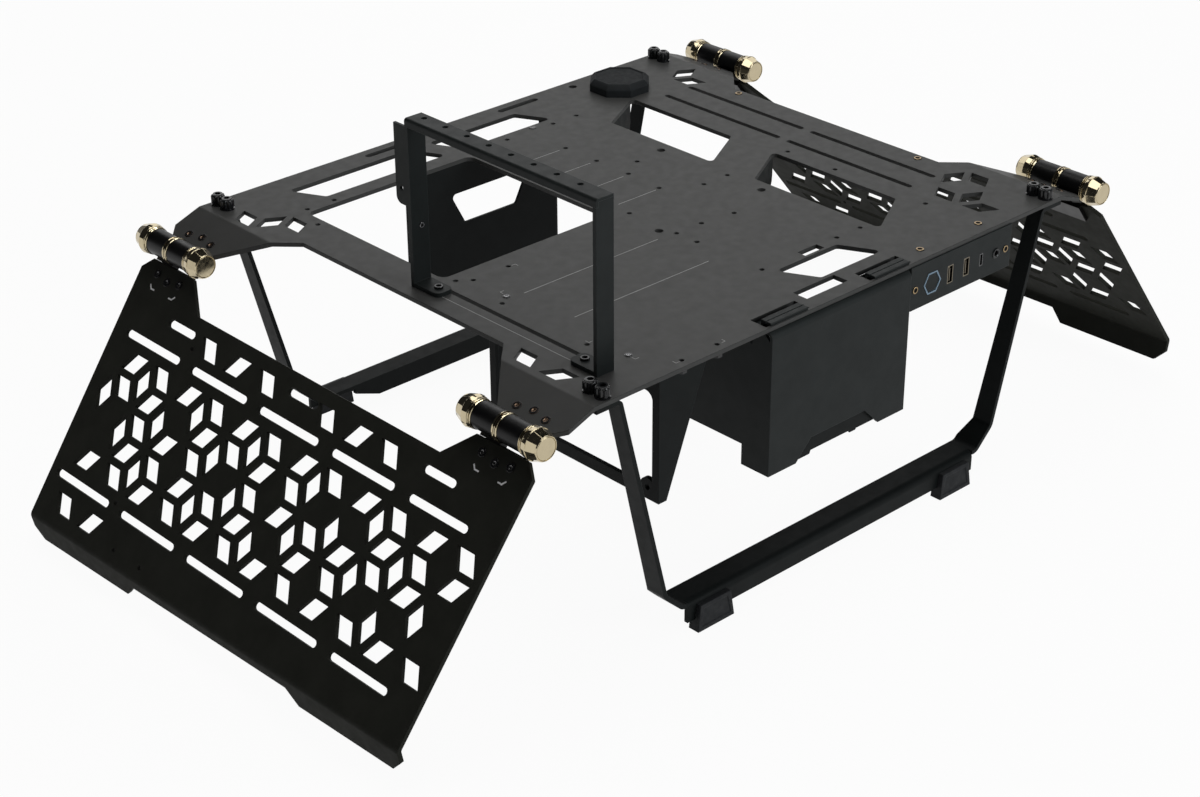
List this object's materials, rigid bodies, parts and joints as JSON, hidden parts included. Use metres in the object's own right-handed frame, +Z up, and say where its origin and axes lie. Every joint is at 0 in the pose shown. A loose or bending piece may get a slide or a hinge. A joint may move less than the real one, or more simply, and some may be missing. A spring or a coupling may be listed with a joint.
{
  "type": "open air test bench",
  "caption": "Open bench for a computer: a folded plate on strap stands, with perforated wings on friction hinges, a supply frame, drive brackets and a card bracket.",
  "frame": {"origin": "on the floor, under the middle of the plate", "axes": "+X across the bench towards the right wing, +Y along the hinges away from the panel edge, +Z up"},
  "size_m": [0.7692, 0.408, 0.31],
  "materials": {
    "plate_coat": "satin dark grey powder coat",
    "wing_coat": "satin black powder coat",
    "frame_coat": "satin black powder coat",
    "hinge_coat": "smooth black",
    "gold": "polished champagne anodising",
    "black_screw": "black oxide",
    "steel_screw": "bright zinc",
    "brass_screw": "bright",
    "rubber": "matte moulded",
    "board": "coated circuit board",
    "socket_shell": "plated sheet",
    "black_plastic": "fine matte",
    "light_ring": "pale translucent",
    "pad": "matte"
  },
  "bodies": {
    "chassis": {"main_plate": "plate_coat", "near_stand": "frame_coat", "far_stand": "frame_coat", "psu_frame": "frame_coat", "drive_box": "frame_coat", "drive_panel": "frame_coat", "io_panel": "plate_coat", "card_bar": "frame_coat", "near_card_post": "frame_coat", "far_card_post": "frame_coat", "psu_screws": "steel_screw", "post_screws": "black_screw", "panel_screws": "brass_screw", "plate_screws": "brass_screw", "press_nuts": "black_screw", "io_board": "board", "left_usb_a": "socket_shell", "right_usb_a": "socket_shell", "usb_c": "socket_shell", "audio_jack": "black_plastic", "power_switch": "black_plastic", "button_ring": "light_ring", "corner_pad": "pad", "ear_screws": "black_screw", "near_left_foot": "rubber", "near_left_stand_screws": "black_screw", "near_right_foot": "rubber", "near_right_stand_screws": "black_screw", "plate_hinge_near_right": "hinge_coat", "hinge_pin_near_right": "gold", "hinge_cap_near_right": "gold", "hinge_ring_near_right": "gold", "plate_hinge_near_left": "hinge_coat", "hinge_pin_near_left": "gold", "hinge_cap_near_left": "gold", "hinge_ring_near_left": "gold", "far_left_foot": "rubber", "far_left_stand_screws": "black_screw", "far_right_foot": "rubber", "far_right_stand_screws": "black_screw", "plate_hinge_far_right": "hinge_coat", "hinge_pin_far_right": "gold", "hinge_cap_far_right": "gold", "hinge_ring_far_right": "gold", "plate_hinge_far_left": "hinge_coat", "hinge_pin_far_left": "gold", "hinge_cap_far_left": "gold", "hinge_ring_far_left": "gold"},
    "left_wing": {"left_wing": "wing_coat", "left_wing_screws": "black_screw", "wing_hinge_near_left": "hinge_coat", "wing_hinge_far_left": "hinge_coat"},
    "right_wing": {"right_wing": "wing_coat", "right_wing_screws": "black_screw", "wing_hinge_near_right": "hinge_coat", "wing_hinge_far_right": "hinge_coat"},
    "power_button": {"power_button": "plate_coat"}
  },
  "joints": [
    {"name": "right_wing_hinge", "type": "hinge", "parent": "chassis", "child": "right_wing", "pos_m": [0.26353, 0, 0.18506], "axis": [0, 1, 0], "range_deg": [-52, 0]},
    {"name": "left_wing_hinge", "type": "hinge", "parent": "chassis", "child": "left_wing", "pos_m": [-0.26353, 0, 0.18506], "axis": [0, -1, 0], "range_deg": [-52, 0]},
    {"name": "power_button_press", "type": "slide", "parent": "chassis", "child": "power_button", "axis": [0, 1, 0], "range_m": [0, 0.0015], "stiffness_N_per_m": 800, "springref_m": -0.0005}
  ]
}
